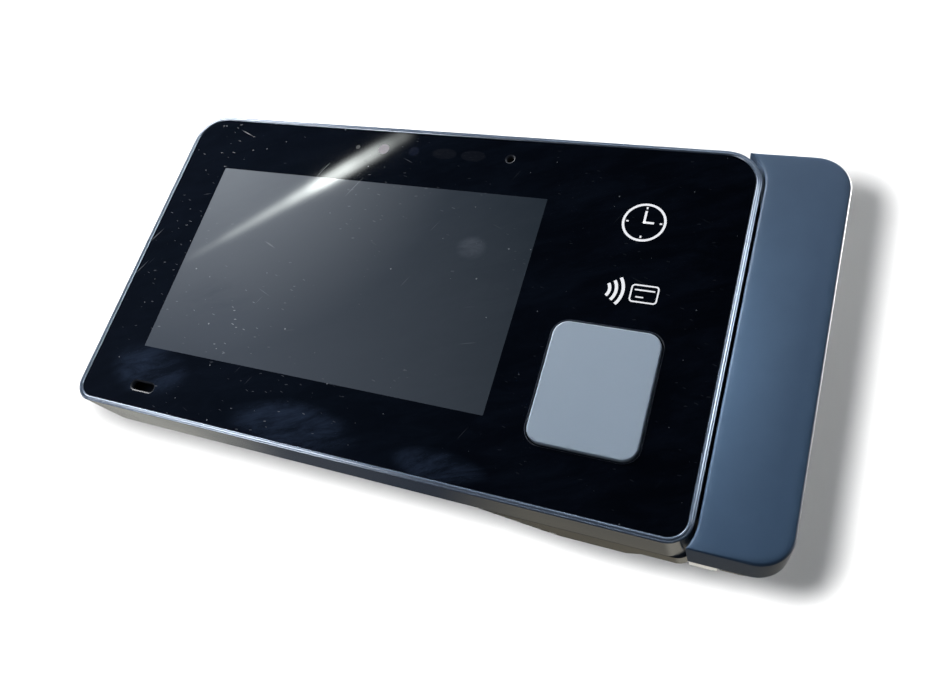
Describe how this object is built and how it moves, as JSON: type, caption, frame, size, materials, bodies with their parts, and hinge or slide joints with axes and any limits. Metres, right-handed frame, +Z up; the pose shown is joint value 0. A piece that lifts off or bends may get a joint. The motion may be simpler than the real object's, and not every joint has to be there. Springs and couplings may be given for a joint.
{
  "type": "wall-mounted biometric time terminal",
  "caption": "Flat wall terminal with a display under black glass, a raised square reader pad, a sensor row and a side module that forms a card-swipe slot.",
  "frame": {"origin": "on the back face of the wall plate, at the middle of the terminal's width and height", "axes": "+X to the viewer's right, +Z up, +Y into the wall"},
  "size_m": [0.284, 0.0436, 0.1456],
  "materials": {
    "bezel": "satin moulded, fine grain",
    "soft_touch": "soft-touch paint, fine grain",
    "rear_shell": "matte moulded, sparked texture",
    "cover_glass": "gloss, back-printed black",
    "display": "switched off, smooth",
    "pad": "satin, fine grain",
    "stainless": "brushed",
    "pressed_steel": "zinc plated",
    "plate_steel": "powder coated",
    "circuit_board": "solder mask",
    "black_plastic": "moulded",
    "clear_plastic": "clear",
    "lens": "coated",
    "foam": "closed-cell foam",
    "battery_wrap": "shrink wrap",
    "flat_cable": "polyimide film",
    "screws": "zinc plated"
  },
  "bodies": {
    "wall_plate": {"wall_plate": "plate_steel", "locking_screw": "screws"},
    "terminal": {"front_frame": "bezel", "cover_glass": "cover_glass", "display_gasket": "foam", "display_panel": "display", "display_tray": "pressed_steel", "sensor_board": "circuit_board", "camera_module": "lens", "camera_gasket": "foam", "presence_sensor_left": "lens", "presence_sensor_right": "lens", "light_sensor": "clear_plastic", "status_led": "clear_plastic", "microphone": "pressed_steel", "microphone_gasket": "foam", "speaker": "black_plastic", "speaker_gasket": "foam", "reader_pad": "pad", "reader_pad_gasket": "foam", "reader_board": "circuit_board", "mid_chassis": "pressed_steel", "main_board": "circuit_board", "processor_shield": "pressed_steel", "ethernet_socket": "black_plastic", "service_port": "stainless", "power_terminal": "black_plastic", "coin_cell_holder": "black_plastic", "coin_cell": "stainless", "backup_battery": "battery_wrap", "display_ribbon": "flat_cable", "rear_housing": "rear_shell", "rear_screw_1": "screws", "rear_screw_2": "screws", "rear_screw_3": "screws", "rear_screw_4": "screws", "rear_screw_5": "screws", "rear_screw_6": "screws", "tamper_switch": "black_plastic", "tamper_spring": "stainless", "swipe_cover": "soft_touch", "swipe_rear_cover": "rear_shell", "swipe_bracket": "stainless", "head_spring": "stainless", "swipe_board": "circuit_board", "swipe_cable": "flat_cable", "bracket_screw_1": "screws", "bracket_screw_2": "screws", "cover_screw_1": "screws", "cover_screw_2": "screws"},
    "tamper_plunger": {"tamper_plunger": "black_plastic"},
    "read_head": {"read_head": "stainless"}
  },
  "joints": [
    {"name": "lift_off", "type": "slide", "parent": "wall_plate", "child": "terminal", "axis": [0, 0, 1], "range_m": [0, 0.012]},
    {"name": "tamper_press", "type": "slide", "parent": "terminal", "child": "tamper_plunger", "axis": [0, 1, 0], "range_m": [-0.002, 0], "stiffness_N_per_m": 200, "springref_m": 0.003, "deforming": ["tamper_spring"]},
    {"name": "read_head_float", "type": "slide", "parent": "terminal", "child": "read_head", "axis": [1, 0, 0], "range_m": [0, 0.0006], "stiffness_N_per_m": 1500, "springref_m": -0.001, "deforming": ["head_spring"]}
  ]
}
